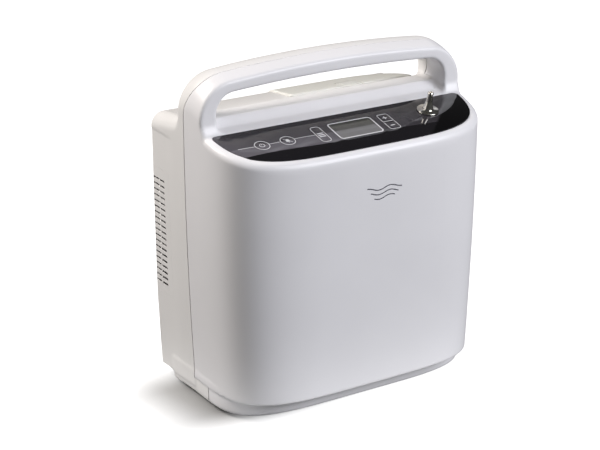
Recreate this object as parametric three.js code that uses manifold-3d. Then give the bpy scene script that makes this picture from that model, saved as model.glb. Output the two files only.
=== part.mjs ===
// Portable oxygen concentrator: a two-shell case with a loop handle, a sloped
// key panel with a barbed oxygen outlet, a slide-out battery, and the scroll
// compressor, sieve beds, valves, fan and boards that work inside it.
// Millimetres. +X is the right-hand side seen from the front, +Y the back,
// +Z up; the origin is on the table under the middle of the case.
import * as THREE from 'three';
import { mergeVertices } from 'three/addons/utils/BufferGeometryUtils.js';
import Module from 'manifold-3d';

const wasm = await Module();
wasm.setup();

// ---------------------------------------------------------------- dimensions
const WIDTH = 254;            // over the case sides
const DEPTH = 152.4;          // front skin to back skin
const HEIGHT = 292;           // table to the crown of the handle
const WALL = 3;               // moulded wall
const GAP = 0.3;              // clearance between neighbouring pieces
const HALF = WIDTH / 2;
const FRONT = -DEPTH / 2;
const BACK = DEPTH / 2;
const SEAM_Y = 15;            // plane where the two shells meet
const SEAM_BASE_Y = -8;       // the seam steps forward at the skirt
const NOSE = 4.4;             // superellipse exponent of the front plan
const BACK_CORNER = 9;        // plan radius of the back corners
const BASE_Z = 3;             // underside of the case, on its feet
const SKIRT_Z = 18;           // lower edge of the front shell over its plinth
const PLINTH_FRONT = -61;
const PLINTH_BACK = 58;
const TAPER = 5.4;            // each side leans in this much towards the base
const WIDEST_Z = 215;
const TUCK = 0.07;            // the back draws in by this share towards the base

const PANEL_SLOPE = 0.232;    // rise per mm of the key panel towards the back
const PANEL_FRONT_Z = 227.4;  // height of the panel plane at its front rim
const PANEL_FRONT_Y = -75;
const RIM = 5.5;              // rounded rim around the panel
const OVERLAY_HALF = 120.8;
const OVERLAY_FRONT = -70.6;
const OVERLAY_BACK = -17.5;
const OVERLAY_T = 1.4;
const DECK_Z = 244.5;         // top of the case behind the handle
const RIDGE_Z = 248.5;        // step between the panel and the rear deck

const HANDLE_FRONT = -13;
const HANDLE_BACK = 28;
const HANDLE_SHOULDER = 28;   // outer corner radius
const HANDLE_SAG = 4.6;       // the bar is this much higher in its middle
const HAND_HALF = 111.5;      // half width of the hand opening
const HAND_TOP = 276.5;
const HAND_CORNER = 16;

const BATTERY = { x0: -14, x1: 112, y0: 34, y1: 69, z0: 62, z1: 248 };
const BATTERY_FACE = { x0: -9, x1: 107 };   // narrower part between the back lips
const DOOR = { x: -84, y: 45, z0: 80, z1: 193 };
const LOUVRES = 19;

const KEY_TRAVEL_GAP = 1.2;   // free height under each key cap
const PANEL_ROW = 24.8;       // the key row, measured down the slope
const POWER_X = -86.8;
const ALARM_X = -63.1;
const ROUND_KEY_R = 6.6;
const MODE_X = -32;
const TALL_KEY = { w: 9.4, h: 24 };
const LCD_X = 1.6;
const LCD = { w: 42.6, h: 25.4 };
const LEVEL_X = 34.4;
const LEVEL_KEY = { w: 11, h: 11.8 };
const OUTLET_X = 77.4;
const OUTLET_ROW = 19.6;

const COMP = { x: -66, y: -19.5 };          // compressor axis
const CRANK_OFFSET = 2.9;                   // orbit radius of the moving scroll
const BED = { r: 23.5, z0: 24, z1: 172, y: -28, xs: [40, 92] };
const FAN = { x: -66, y: 49, z: 140, size: 78, depth: 22 };

// ------------------------------------------------------------------- colours
const paint = (color, roughness, metalness = 0) =>
  new THREE.MeshStandardMaterial({ color, roughness, metalness });
const WHITE = paint(0xdcdce0, 0.42);
const WARM_WHITE = paint(0xd9d8d3, 0.45);
const GLOSS_BLACK = paint(0x17161a, 0.08);
const LCD_GREY = paint(0x5c605a, 0.2);
const NICKEL = paint(0xb9b6ac, 0.22, 1);
const STEEL = paint(0x9a9ca0, 0.35, 1);
const COPPER = paint(0xb66a3c, 0.3, 1);
const ALUMINIUM = paint(0xb7babd, 0.45, 1);
const RUBBER = paint(0x1d1d1f, 0.85);
const BLACK_ABS = paint(0x222326, 0.55);
const BOARD = paint(0x1e5a36, 0.5);
const FOAM = paint(0x3a3b3e, 0.95);
const CELL_WRAP = paint(0x2f5f9e, 0.4);
const NATURAL = paint(0xcfcabb, 0.6);

// ------------------------------------------------------- solids and placement
function solidOf(geometry) {
  const bare = geometry.clone();
  for (const name of Object.keys(bare.attributes)) {
    if (name !== 'position') bare.deleteAttribute(name);
  }
  const merged = mergeVertices(bare, 1e-4);
  return new wasm.Manifold(new wasm.Mesh({
    numProp: 3,
    vertProperties: new Float32Array(merged.attributes.position.array),
    triVerts: new Uint32Array(merged.index.array),
  }));
}

function geometryOf(solid) {
  const mesh = solid.getMesh();
  const geometry = new THREE.BufferGeometry();
  geometry.setAttribute('position', new THREE.BufferAttribute(mesh.vertProperties, 3));
  geometry.setIndex(new THREE.BufferAttribute(mesh.triVerts, 1));
  return geometry;
}

const join = (...solids) => solids.reduce((a, b) => a.add(b));
const cut = (solid, ...tools) => tools.reduce((a, b) => a.subtract(b), solid);

function box(x0, x1, y0, y1, z0, z1) {
  const g = new THREE.BoxGeometry(x1 - x0, y1 - y0, z1 - z0);
  return solidOf(g.translate((x0 + x1) / 2, (y0 + y1) / 2, (z0 + z1) / 2));
}

// Upright cylinder between two heights.
function post(x, y, z0, z1, r0, r1 = r0, sides = 24) {
  const g = new THREE.CylinderGeometry(r1, r0, z1 - z0, sides);
  return solidOf(g.rotateX(Math.PI / 2).translate(x, y, (z0 + z1) / 2));
}

// Cylinder lying along Y.
function drum(x, z, y0, y1, r, sides = 32) {
  const g = new THREE.CylinderGeometry(r, r, y1 - y0, sides);
  return solidOf(g.translate(x, (y0 + y1) / 2, z));
}

// A turned piece standing at (x, y); the profile is a list of [radius, z].
function turned(x, y, profile, sides = 24) {
  const g = new THREE.LatheGeometry(profile.map(([r, z]) => new THREE.Vector2(r, z)), sides);
  return solidOf(g.rotateX(Math.PI / 2).translate(x, y, 0));
}

function shapeOf(points) {
  return new THREE.Shape(points.map(([x, y]) => new THREE.Vector2(x, y)));
}

// Plan outline raised from z0 to z1.
function raise(shape, z0, z1, steps = 1) {
  const g = new THREE.ExtrudeGeometry(shape, { depth: z1 - z0, steps, bevelEnabled: false });
  return g.translate(0, 0, z0);
}

// A (Y, Z) outline run across the case from x0 to x1.
function across(points, x0, x1) {
  const g = new THREE.ExtrudeGeometry(shapeOf(points), { depth: x1 - x0, bevelEnabled: false });
  const turn = new THREE.Matrix4().set(0, 0, 1, x0, 1, 0, 0, 0, 0, 1, 0, 0, 0, 0, 0, 1);
  return solidOf(g.applyMatrix4(turn));
}

// An (X, Z) outline run from the back face y1 forward to y0.
function along(shape, y0, y1, bevel = 0) {
  const g = new THREE.ExtrudeGeometry(shape, {
    depth: y1 - y0 - 2 * bevel,
    bevelEnabled: bevel > 0,
    bevelThickness: bevel,
    bevelSize: bevel,
    bevelOffset: -bevel,
    bevelSegments: 2,
    curveSegments: 8,
  });
  return solidOf(g.rotateX(Math.PI / 2).translate(0, y1 - bevel, 0));
}

function pipe(points, r, segments, sides = 8) {
  const path = new THREE.CatmullRomCurve3(
    points.map(([x, y, z]) => new THREE.Vector3(x, y, z)), false, 'centripetal');
  const ring = [];
  for (let i = 0; i < sides; i++) {
    const a = (i / sides) * 2 * Math.PI;
    ring.push([r * Math.cos(a), r * Math.sin(a)]);
  }
  return solidOf(new THREE.ExtrudeGeometry(shapeOf(ring), {
    steps: segments, extrudePath: path, bevelEnabled: false,
  }));
}

const unit = new THREE.Group();
unit.name = 'oxygen_concentrator';

function addPiece(name, solid, material, parent = unit) {
  const mesh = new THREE.Mesh(solid.isBufferGeometry ? solid : geometryOf(solid), material);
  mesh.name = name;
  parent.add(mesh);
  return mesh;
}

// The key panel's own frame: x across, y up the slope from the overlay's back
// edge, z out of the panel.
const panelZ = (y) => PANEL_FRONT_Z + PANEL_SLOPE * (y - PANEL_FRONT_Y);
const PANEL_TILT = Math.atan(PANEL_SLOPE);
const panelMatrix = new THREE.Matrix4()
  .makeRotationX(PANEL_TILT)
  .setPosition(0, OVERLAY_BACK, panelZ(OVERLAY_BACK));
const onPanel = (solid) => solid.transform([...panelMatrix.elements]);

// -------------------------------------------------------------- case outline
// Plan of the case, moved in by `inset`: bowed superellipse in front of the
// seam plane, straight sides and small corners behind it.
function planPoints(inset, half, front, back, count, corner = BACK_CORNER) {
  const w = half - inset;
  const d = SEAM_Y - front - inset;
  const b = back - inset;
  const r = Math.max(corner - inset, 2);
  const points = [];
  for (let i = 0; i <= count; i++) {
    const t = (i / count) * Math.PI;
    const c = Math.cos(t);
    points.push([
      -Math.sign(c) * w * Math.abs(c) ** (2 / NOSE),
      SEAM_Y - d * Math.sin(t) ** (2 / NOSE),
    ]);
  }
  for (const [side, start] of [[1, 0], [-1, Math.PI / 2]]) {
    for (let i = 0; i <= 4; i++) {
      const a = start + (i / 4) * (Math.PI / 2);
      points.push([side * (w - r) + r * Math.cos(a), b - r + r * Math.sin(a)]);
    }
  }
  return points;
}

const lean = (z) => {
  const k = THREE.MathUtils.clamp((WIDEST_Z - z) / (WIDEST_Z - SKIRT_Z), 0, 1);
  return 1 - (TAPER * k * k) / HALF;
};

const ROLL = 4;               // rings in the rolled rim

// The case wall as a stack of plan rings; `top(y)` is the height of the last
// ring and `rim` rolls the upper edge over.
function caseBody({ inset, z0, top, rim, count, levels }) {
  const steps = levels + (rim > 0 ? ROLL : 0);
  const plan = shapeOf(planPoints(inset, HALF, FRONT, BACK, count));
  const g = raise(plan, 0, steps, steps);
  const p = g.attributes.position;
  for (let i = 0; i < p.count; i++) {
    const k = Math.round(p.getZ(i));
    let x = p.getX(i);
    let y = p.getY(i);
    const roof = top(y);
    let z;
    if (k <= levels) {
      z = z0 + (roof - rim - z0) * (k / levels);
    } else {
      const a = ((k - levels) / ROLL) * (Math.PI / 2);
      z = roof - rim + rim * Math.sin(a);
      const roll = rim * (1 - Math.cos(a));
      x *= 1 - roll / HALF;
      y = SEAM_Y + (y - SEAM_Y) * (1 - roll / (y < SEAM_Y ? SEAM_Y - FRONT : BACK - SEAM_Y));
      z += top(y) - roof;
    }
    if (y > SEAM_Y) y -= (y - SEAM_Y) * TUCK * Math.max(0, 1 - z / 75);
    p.setXYZ(i, x * lean(z), y, z);
  }
  return solidOf(g);
}

const upperPlan = solidOf(raise(shapeOf(planPoints(0, HALF, FRONT, BACK, 32)), 216, 300));

function handleShape(inset) {
  const w = HALF - inset;
  const r = HANDLE_SHOULDER - inset;
  const crown = HEIGHT - inset;
  const arch = (x, top) => top - HANDLE_SAG * (x / 100) ** 2;
  const outline = [[-w, 210], [w, 210]];
  const corner = arch(w - r, crown) - r;
  for (let i = 0; i <= 7; i++) {
    const a = (i / 7) * (Math.PI / 2);
    outline.push([w - r + r * Math.cos(a), corner + r * Math.sin(a)]);
  }
  for (let i = 1; i < 10; i++) {
    const x = (w - r) * (1 - i / 5);
    outline.push([x, arch(x, crown)]);
  }
  for (let i = 7; i >= 0; i--) {
    const a = (i / 7) * (Math.PI / 2);
    outline.push([-(w - r + r * Math.cos(a)), corner + r * Math.sin(a)]);
  }
  const shape = shapeOf(outline);
  const h = HAND_HALF + inset;
  const q = HAND_CORNER + inset;
  const opening = [[-h, 238 - inset], [h, 238 - inset]];
  const top = HAND_TOP + inset;
  for (let i = 0; i <= 5; i++) {
    const a = (i / 5) * (Math.PI / 2);
    opening.push([h - q + q * Math.cos(a), top - 3.2 - q + q * Math.sin(a)]);
  }
  for (let i = 1; i < 8; i++) {
    const x = (h - q) * (1 - i / 4);
    opening.push([x, top - 3.2 * (x / 95) ** 2]);
  }
  for (let i = 5; i >= 0; i--) {
    const a = (i / 5) * (Math.PI / 2);
    opening.push([-(h - q + q * Math.cos(a)), top - 3.2 - q + q * Math.sin(a)]);
  }
  shape.holes.push(new THREE.Path(opening.reverse().map(([x, y]) => new THREE.Vector2(x, y))));
  return shape;
}

// Concave run of each handle leg's front down into the panel rim.
const legRoot = [
  [0, 225], [-46, 225], [-46, panelZ(-46) - 1.5], [-36, panelZ(-36) - 0.4],
  [-27, panelZ(-27) + 0.6], [-20.5, panelZ(-20.5) + 2.6], [-16, panelZ(-16) + 6.2],
  [-13.6, panelZ(-14) + 12], [-13, 262], [0, 262],
];
const ridge = (drop) => [
  [-16 + drop, 232], [-8 + drop, 243 - drop], [0 + drop, RIDGE_Z - 0.9 - drop],
  [3 + drop, RIDGE_Z - drop], [26 - drop, RIDGE_Z - 1.5 - drop],
  [29 - drop, RIDGE_Z - 3 - drop], [30 - drop, 232],
];

function outerSolid() {
  const frontBody = caseBody({ inset: 0, z0: SKIRT_Z, top: panelZ, rim: RIM, count: 32, levels: 5 });
  const backBody = caseBody({ inset: 0, z0: 9.5, top: () => DECK_Z, rim: 8, count: 32, levels: 5 });
  const plinth = solidOf(raise(
    shapeOf(planPoints(0, HALF - TAPER - 0.2, PLINTH_FRONT, PLINTH_BACK, 28, 12)), BASE_Z, 24));
  const handle = along(handleShape(0), HANDLE_FRONT, HANDLE_BACK, 4);
  const roots = [-1, 1].map((s) => across(legRoot,
    Math.min(s * HALF, s * HAND_HALF), Math.max(s * HALF, s * HAND_HALF)));
  return join(
    frontBody.intersect(box(-130, 130, -80, 14, 0, 300)),
    backBody.intersect(box(-130, 130, 13.5, 80, 0, 300)),
    plinth,
    join(handle, ...roots).intersect(upperPlan),
    across(ridge(0), -114, 114),
  );
}

function innerSolid() {
  const frontRoom = caseBody({
    inset: WALL, z0: SKIRT_Z + WALL, top: (y) => panelZ(y) - WALL - 1, rim: 0, count: 20, levels: 3,
  });
  const backRoom = caseBody({
    inset: WALL, z0: 9.5 + WALL, top: () => DECK_Z - WALL, rim: 0, count: 20, levels: 3,
  });
  const plinthRoom = solidOf(raise(shapeOf(
    planPoints(WALL, HALF - TAPER - 0.2, PLINTH_FRONT, PLINTH_BACK, 20, 12)), BASE_Z + WALL + 0.5, 26));
  const handleRoom = along(handleShape(WALL), HANDLE_FRONT + WALL, HANDLE_BACK - WALL);
  return join(
    frontRoom.intersect(box(-130, 130, -80, 14, 0, 300)),
    backRoom.intersect(box(-130, 130, 13.5, 80, 0, 300)),
    plinthRoom,
    handleRoom,
    across(ridge(WALL), -108, 108),
  );
}

// Everything in front of the seam: up the side, stepping forward at the
// skirt, and leaning forward over the handle. `shift` opens the gap.
const inFrontOfSeam = (shift) => across([
  [-100, -5], [SEAM_BASE_Y + shift, -5], [SEAM_BASE_Y + shift, 16.5 - shift],
  [SEAM_Y + shift, 16.5 - shift], [SEAM_Y + shift, 250], [12.5 + shift, 264],
  [7 + shift, 276], [2 + shift, 284], [1 + shift, 300], [-100, 300],
], -140, 140);

// --------------------------------------------------------------- panel parts
function overlayPoints(grow) {
  const w = OVERLAY_HALF + grow;
  const d = SEAM_Y - OVERLAY_FRONT + grow;
  const slopeOf = (y) => (y - OVERLAY_BACK) / Math.cos(PANEL_TILT);
  const points = [];
  const t0 = 0.0175;
  for (let i = 0; i <= 30; i++) {
    const t = t0 + (i / 30) * (Math.PI - 2 * t0);
    const x = -Math.sign(Math.cos(t)) * w * Math.abs(Math.cos(t)) ** (2 / NOSE);
    const y = SEAM_Y - d * Math.sin(t) ** (2 / NOSE);
    if (y < OVERLAY_BACK - 7) points.push([x, slopeOf(y)]);
  }
  const x = points[points.length - 1][0];
  const corner = [[x - 0.2, -4.6 + grow], [x - 2.2, -1.6 + grow], [x - 5.6, grow]];
  return [...points, ...corner, ...corner.reverse().map(([a, b]) => [-a, b])];
}

function roundedRect(w, h, r, x = 0, y = 0) {
  const points = [];
  for (let q = 0; q < 4; q++) {
    const cx = (q === 0 || q === 3 ? 1 : -1) * (w / 2 - r);
    const cy = (q < 2 ? 1 : -1) * (h / 2 - r);
    for (let i = 0; i <= 3; i++) {
      const a = ((q + i / 3) * Math.PI) / 2;
      points.push([x + cx + r * Math.cos(a), y + cy + r * Math.sin(a)]);
    }
  }
  return points;
}

function circlePoints(r, x = 0, y = 0, sides = 24) {
  return Array.from({ length: sides }, (_, i) => {
    const a = (i / sides) * 2 * Math.PI;
    return [x + r * Math.cos(a), y + r * Math.sin(a)];
  });
}

const prism = (points, z0, z1) => solidOf(raise(shapeOf(points), z0, z1));

const levelRow = (up) => -PANEL_ROW + up * (LEVEL_KEY.h / 2 + 0.35);
const keyOutline = {
  key_power: (g) => circlePoints(ROUND_KEY_R + g, POWER_X, -PANEL_ROW),
  key_alarm: (g) => circlePoints(ROUND_KEY_R + g, ALARM_X, -PANEL_ROW),
  key_mode: (g) => roundedRect(
    TALL_KEY.w + 2 * g, TALL_KEY.h + 2 * g, 3.4, MODE_X, -PANEL_ROW),
  key_plus: (g) => roundedRect(
    LEVEL_KEY.w + 2 * g, LEVEL_KEY.h + 2 * g, 2.6, LEVEL_X, levelRow(1)),
  key_minus: (g) => roundedRect(
    LEVEL_KEY.w + 2 * g, LEVEL_KEY.h + 2 * g, 2.6, LEVEL_X, levelRow(-1)),
};
const TOP = 0.2;                       // the overlay stands this proud
const SEAT = TOP - OVERLAY_T;          // floor of its recess

const keyHoles = join(...Object.values(keyOutline).map(
  (outline) => prism(outline(GAP), SEAT - 20, TOP + 5)));
const lcdHole = (g) => prism(
  roundedRect(LCD.w + 2 * g, LCD.h + 2 * g, 3.5, LCD_X, -PANEL_ROW), SEAT - 20, TOP + 5);
const outletHole = (r) => prism(circlePoints(r, OUTLET_X, -OUTLET_ROW), SEAT - 20, TOP + 5);

// -------------------------------------------------------------------- shells
const outer = outerSolid();
const inner = innerSolid();
const LID_Z = BATTERY.z1 - 10;
const batteryBay = (g) => join(
  box(BATTERY.x0 - g, BATTERY.x1 + g, BATTERY.y0 - g, BATTERY.y1 + g, BATTERY.z0 - g, 260),
  box(BATTERY.x0 - g, BATTERY.x1 + g, BATTERY.y0 - g, 80, LID_Z, 260),
  box(BATTERY_FACE.x0 - g, BATTERY_FACE.x1 + g, BATTERY.y1, 80, BATTERY.z0 - g, 260));
const bayWall = box(BATTERY.x0 - WALL, BATTERY.x1 + WALL, BATTERY.y0 - WALL, 80,
  BATTERY.z0 - WALL, 260);
const SCREWS = [[-99, -29], [99, -29], [-99, 8], [99, 8]];
const screwHoles = join(...SCREWS.map(([x, y]) => post(x, y, -1, 12, 1.9, 1.9, 12)));

const doorRegion = (g) => join(
  box(-130, DOOR.x + g, DOOR.y - g, 74.5, DOOR.z0 - g, DOOR.z1 + g),
  box(-130, DOOR.x + g, 74, 90, DOOR.z0 - g, DOOR.z1 + g));
const skin = outer.subtract(inner);
const VENTS = 6;
const exhaust = join(...Array.from({ length: VENTS }, (_, i) =>
  box(24, 84, 68, 80, 24 + i * 5, 26.4 + i * 5)));
const inletHole = box(-67, -53, 60, 80, 42.5, 51.5);

const frontShell = cut(
  skin.intersect(inFrontOfSeam(-GAP / 2)),
  onPanel(prism(overlayPoints(GAP), SEAT, 8)),
  onPanel(keyHoles), onPanel(lcdHole(-2)), onPanel(outletHole(4.4)), screwHoles);
addPiece('front_shell', frontShell, WHITE);

const rearShell = cut(
  outer.subtract(inner.subtract(bayWall)).subtract(inFrontOfSeam(GAP / 2)),
  batteryBay(GAP), doorRegion(GAP), screwHoles, exhaust, inletHole);
addPiece('rear_shell', rearShell, WARM_WHITE);

// Intake door: the louvred skin at the back left corner, with two hook ribs
// inside that keep it on the shell.
const slats = join(...Array.from({ length: LOUVRES }, (_, i) => {
  const z = DOOR.z0 + 5.2 + i * 5.4;
  return box(-130, -112, 50, 80, z, z + 2.3);
}));
const door = join(
  skin.intersect(doorRegion(0)).subtract(slats),
  box(-123.6, -120.8, 47, 73, DOOR.z0 + 3, DOOR.z0 + 4.6),
  box(-123.6, -120.8, 47, 73, DOOR.z1 - 4.6, DOOR.z1 - 3));
addPiece('filter_door', door, WARM_WHITE);
addPiece('filter_foam', box(-119, -114, 48, 70, DOOR.z0 + 6, DOOR.z1 - 6), FOAM);

// ---------------------------------------------------------- panel and outlet
const overlay = cut(prism(overlayPoints(0), SEAT + 0.02, TOP), keyHoles, lcdHole(GAP),
  outletHole(4.4));
addPiece('panel_overlay', onPanel(overlay), GLOSS_BLACK);
addPiece('display_window', onPanel(prism(
  roundedRect(LCD.w, LCD.h, 3.5, LCD_X, -PANEL_ROW), SEAT + 0.02, TOP)), LCD_GREY);

for (const [name, outline] of Object.entries(keyOutline)) {
  const [cx, cy] = outline(0).reduce(([a, b], [x, y], _, all) =>
    [a + x / all.length, b + y / all.length], [0, 0]);
  const cap = join(
    prism(outline(0), TOP - 2.4, TOP + 0.1),
    prism(circlePoints(1.6, cx, cy, 12), TOP - 6.4, TOP - 2));
  addPiece(name, onPanel(cap), GLOSS_BLACK);
}

const outletProfile = [
  [0, -10], [3.9, -10], [3.9, 0.25], [9.2, 0.3], [9.4, 0.8], [9, 1.6], [5, 2.4], [4.2, 6],
  [3.4, 9], [2.6, 9.6], [2.5, 13.4], [3.1, 14.2], [2.7, 17.6], [0, 17.6],
];
const bore = post(OUTLET_X, -OUTLET_ROW, -12, 20, 1.4, 1.4, 12);
addPiece('oxygen_outlet',
  onPanel(turned(OUTLET_X, -OUTLET_ROW, outletProfile, 20).subtract(bore)), NICKEL);
addPiece('outlet_nut', onPanel(cut(
  post(OUTLET_X, -OUTLET_ROW, -8.2, -4.4, 8, 8, 6),
  post(OUTLET_X, -OUTLET_ROW, -12, 2, 4.2, 4.2, 16))), STEEL);

// The board under the keys, with one switch per key and the display module.
const uiBoard = join(
  box(-100, 48, -42, -7, -12.2, -10.6),
  ...Object.values(keyOutline).map((outline) => {
    const [cx, cy] = outline(0).reduce(([a, b], [x, y], _, all) =>
      [a + x / all.length, b + y / all.length], [0, 0]);
    return box(cx - 3, cx + 3, cy - 3, cy + 3, -10.8, TOP - 6.4 - KEY_TRAVEL_GAP);
  }));
addPiece('ui_board', onPanel(uiBoard), BOARD);
addPiece('lcd_module', onPanel(join(
  box(LCD_X - 24, LCD_X + 24, -39.5, -10, -10.4, -6.2),
  box(LCD_X - 18, LCD_X + 18, -35, -14.5, -6.4, -4.6))), LCD_GREY);
addPiece('buzzer', onPanel(post(-76, -14, -17, -12.4, 5, 5, 16)), BLACK_ABS);

// ------------------------------------------------------------------- battery
const batteryOuter = (g) => join(
  box(BATTERY.x0 + g, BATTERY.x1 - g, BATTERY.y0 + g, BATTERY.y1 - g, BATTERY.z0 + g, LID_Z),
  box(BATTERY_FACE.x0 + g, BATTERY_FACE.x1 - g, BATTERY.y1 - 1 - g, BACK - g,
    BATTERY.z0 + g, LID_Z));
addPiece('battery_case', cut(
  batteryOuter(0), batteryOuter(2.2),
  box(BATTERY.x0 + 2.2, BATTERY.x1 - 2.2, BATTERY.y0 + 2.2, BATTERY.y1 - 2.2,
    BATTERY.z0 + 20, LID_Z + 5),
  box(26, 72, BATTERY.y0 - 1, BATTERY.y0 + 3, BATTERY.z0 + 6, BATTERY.z0 + 18),
), WARM_WHITE);
// Lid that closes the pack, rolled over at the back, with a pocket for the latch.
const LATCH = { x0: 38, x1: 60, y1: BATTERY.y0 + 14 };
const lidProfile = [
  [BATTERY.y0, LID_Z + GAP], [BACK - 0.4, LID_Z + GAP], [BACK - 0.6, LID_Z + 2.5],
  [BACK - 2.4, LID_Z + 5.8], [BACK - 5.6, LID_Z + 8.4], [BACK - 10, LID_Z + 9.8],
  [BACK - 14, BATTERY.z1], [BATTERY.y0 + 1.5, BATTERY.z1], [BATTERY.y0, BATTERY.z1 - 1.5],
];
const lid = cut(
  across(lidProfile, BATTERY.x0, BATTERY.x1),
  box(LATCH.x0, LATCH.x1, BATTERY.y0 - 1, LATCH.y1, LID_Z - 1, 260));
addPiece('battery_cover', lid, WARM_WHITE);
addPiece('battery_latch', join(
  box(LATCH.x0 + 0.5, LATCH.x1 - 0.5, BATTERY.y0 + 0.5, LATCH.y1 - 3.2, BATTERY.z1 - 5,
    BATTERY.z1 - 0.6),
  box(42, 56, BATTERY.y0 + 0.5, BATTERY.y0 + 3, BATTERY.z1 - 8.6, BATTERY.z1 - 4.8)), BLACK_ABS);
// Lithium cells end to end in six columns, tied by two nickel straps.
const cells = join(
  ...Array.from({ length: 6 }, (_, i) =>
    post(-1.4 + i * 20.1, 51.2, BATTERY.z0 + 22, LID_Z - 6, 9.6, 9.6, 12)),
  ...[BATTERY.z0 + 60, LID_Z - 50].map((z) => box(-6, 104, 45, 57, z, z + 8)));
addPiece('battery_cells', cells, CELL_WRAP);
addPiece('battery_contacts', join(
  box(28, 70, BATTERY.y0 + 0.4, BATTERY.y0 + 2, BATTERY.z0 + 7, BATTERY.z0 + 17),
  ...[34, 44, 54, 64].map((x) =>
    box(x - 1.6, x + 1.6, BATTERY.y0 + 1.5, BATTERY.y0 + 5, BATTERY.z0 + 9, BATTERY.z0 + 15))), COPPER);

// ---------------------------------------------------------------- base parts
addPiece('power_inlet', cut(
  join(box(-66.7, -53.3, 61, 75.6, 42.8, 51.2), box(-69, -51, 61, 69, 40, 54)),
  box(-64.7, -55.3, 64, 80, 44.6, 49.4)), BLACK_ABS);
const feetAt = [[-80, -41], [80, -41], [-86, 42], [86, 42]];
feetAt.forEach(([x, y], i) => {
  addPiece(`foot_${i + 1}`, turned(x, y, [
    [0, 0], [7.4, 0], [8.6, 0.8], [9, BASE_Z], [0, BASE_Z],
  ], 16), RUBBER);
});
SCREWS.forEach(([x, y], i) => {
  addPiece(`case_screw_${i + 1}`, turned(x, y, [
    [0, 1.2], [2.2, 1.1], [3, 1.6], [3.1, BASE_Z - 0.05], [1.5, BASE_Z - 0.05], [1.5, 12.4], [0, 13],
  ], 12), STEEL);
});

// Folded chassis: floor plate, wall behind the compressor, fan window.
addPiece('chassis', cut(
  join(box(-94, 94, -44, 24, 7.2, 9.2), box(-105, 105, -35, 24, 7.2, 9.2),
    box(-108, 108, 22, 24, 7.2, 215)),
  drum(FAN.x, FAN.z, 0, 40, 34, 24),
  ...SCREWS.map(([x, y]) => post(x, y, 5, 12, 1.8, 1.8, 12)),
  box(20, 80, 10, 30, 60, 76), box(-20, 10, 10, 30, 120, 180)), ALUMINIUM);

// ---------------------------------------------------------------- compressor
const housing = cut(
  turned(COMP.x, COMP.y, [
    [0, 16.5], [30, 16.5], [36, 20], [36, 66], [38, 68], [38, 71.5], [33.5, 71.5], [33.5, 66],
    [33, 20.5], [9.6, 20.5], [9.6, 27], [0, 27],
  ], 22),
  post(COMP.x, COMP.y, 18.6, 30, 7.3, 7.3, 20));
const spider = cut(
  join(post(COMP.x, COMP.y, 58.5, 62, 34, 34, 22), post(COMP.x, COMP.y, 54.5, 60, 9.6, 9.6, 20)),
  post(COMP.x, COMP.y, 50, 66, 7.3, 7.3, 20),
  ...[0, 1, 2].map((i) => post(COMP.x + 21 * Math.cos(i * 2.094), COMP.y + 21 * Math.sin(i * 2.094),
    55, 66, 5.5, 5.5, 12)));
addPiece('compressor_housing', join(housing, spider), ALUMINIUM);
for (const [name, z] of [['bearing_lower', 19], ['bearing_upper', 54.9]]) {
  addPiece(name, cut(post(COMP.x, COMP.y, z, z + 6, 7, 7, 20),
    post(COMP.x, COMP.y, z - 1, z + 7, 4.3, 4.3, 16)), STEEL);
}
const teeth = join(...Array.from({ length: 9 }, (_, i) => {
  const a = (i / 9) * 2 * Math.PI;
  return post(COMP.x + 22 * Math.cos(a), COMP.y + 22 * Math.sin(a), 27, 60, 2.6, 2.6, 8);
}));
addPiece('motor_stator', cut(post(COMP.x, COMP.y, 30, 52, 32, 32, 22),
  post(COMP.x, COMP.y, 28, 56, 19, 19, 24), teeth), STEEL);
addPiece('motor_rotor', cut(post(COMP.x, COMP.y, 31, 51, 18.2, 18.2, 24),
  post(COMP.x, COMP.y, 28, 56, 4.3, 4.3, 16)), COPPER);
const pinX = COMP.x + CRANK_OFFSET;
addPiece('crankshaft', join(
  post(COMP.x, COMP.y, 19.2, 62.6, 4, 4, 16),
  post(COMP.x, COMP.y, 62.6, 65, 8.6, 8.6, 20),
  post(pinX, COMP.y, 64.8, 71.8, 3, 3, 16)), STEEL);

// Scroll wrap: a spiral wall that grows outwards from the axis.
function wrap(cx, cy, phase, z0, z1) {
  const rim = [];
  const pitch = 9.2;
  const turns = 2.1;
  const halfWall = 0.55;
  const n = 40;
  const at = (i, off) => {
    const a = (i / n) * turns * 2 * Math.PI;
    const r = 5.2 + (pitch * a) / (2 * Math.PI) + off;
    return [cx + r * Math.cos(a + phase), cy + r * Math.sin(a + phase)];
  };
  for (let i = 0; i <= n; i++) rim.push(at(i, halfWall));
  for (let i = n; i >= 0; i--) rim.push(at(i, -halfWall));
  return prism(rim, z0, z1);
}
addPiece('orbiting_scroll', cut(
  join(post(pinX, COMP.y, 72, 75, 28, 28, 22), wrap(pinX, COMP.y, 0, 74.9, 82.6),
    post(pinX, COMP.y, 66, 72.1, 6.4, 6.4, 20)),
  post(pinX, COMP.y, 60, 73.2, 3.2, 3.2, 16)), ALUMINIUM);
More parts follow.
